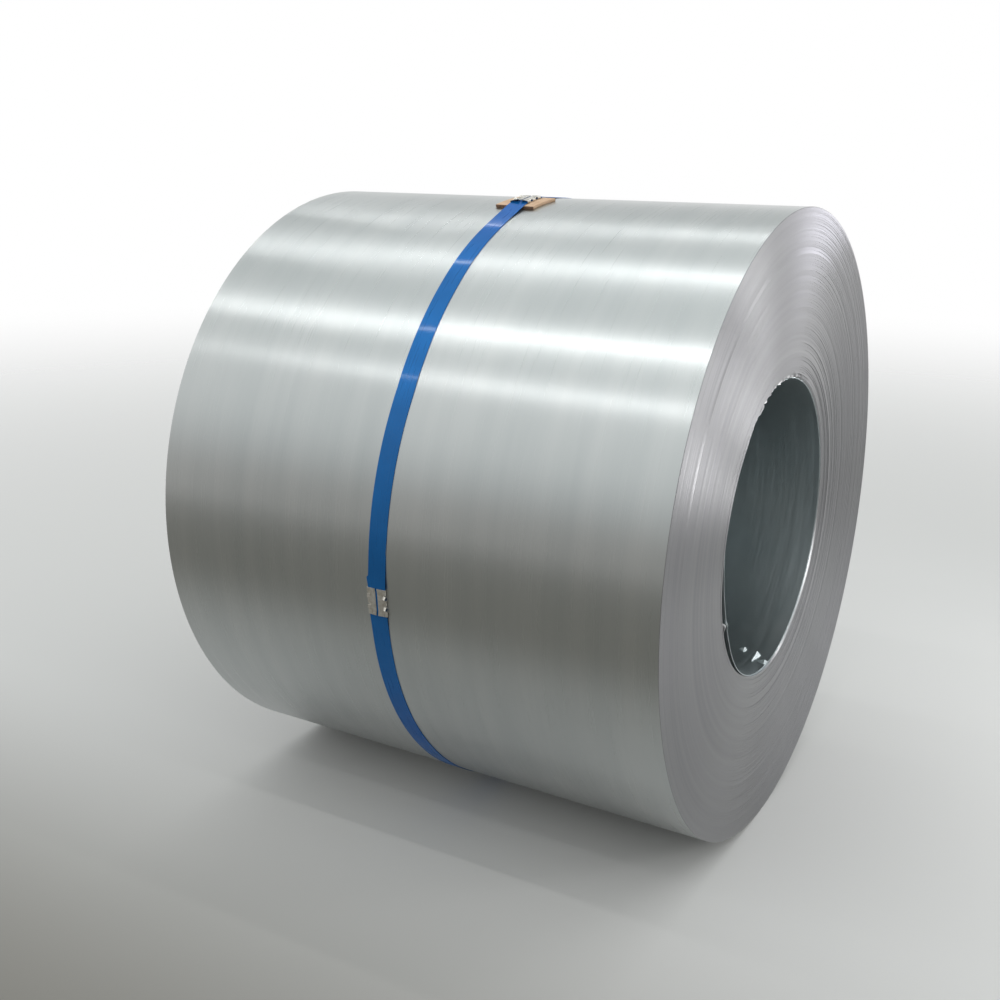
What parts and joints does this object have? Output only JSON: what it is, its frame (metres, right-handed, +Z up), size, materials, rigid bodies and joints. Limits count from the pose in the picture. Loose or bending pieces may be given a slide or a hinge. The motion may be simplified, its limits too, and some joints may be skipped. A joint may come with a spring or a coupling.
{
  "type": "steel coil",
  "caption": "Coil of bright cold-rolled steel strip lying on its side, with an open eye for a mandrel, a painted steel strap round it, notched seals and a board pad.",
  "frame": {"origin": "on the axis of the eye, midway along the outermost turn", "axes": "+X along the axis of the eye towards the dished end, +Z up, -Y towards the side with the front seal"},
  "size_m": [0.9126, 1.0713, 1.0725],
  "materials": {
    "strip_steel": "bright cold-rolled strip, fine rolling grain round the coil",
    "strap_paint": "glossy blue paint on steel strapping",
    "seal_steel": "zinc-plated sheet",
    "pad_board": "plain brown board"
  },
  "bodies": {
    "root": {"coil": "strip_steel", "strap_front": "strap_paint", "strap_back": "strap_paint", "front_seal": "seal_steel", "top_seal": "seal_steel", "top_pad": "pad_board"}
  },
  "joints": []
}
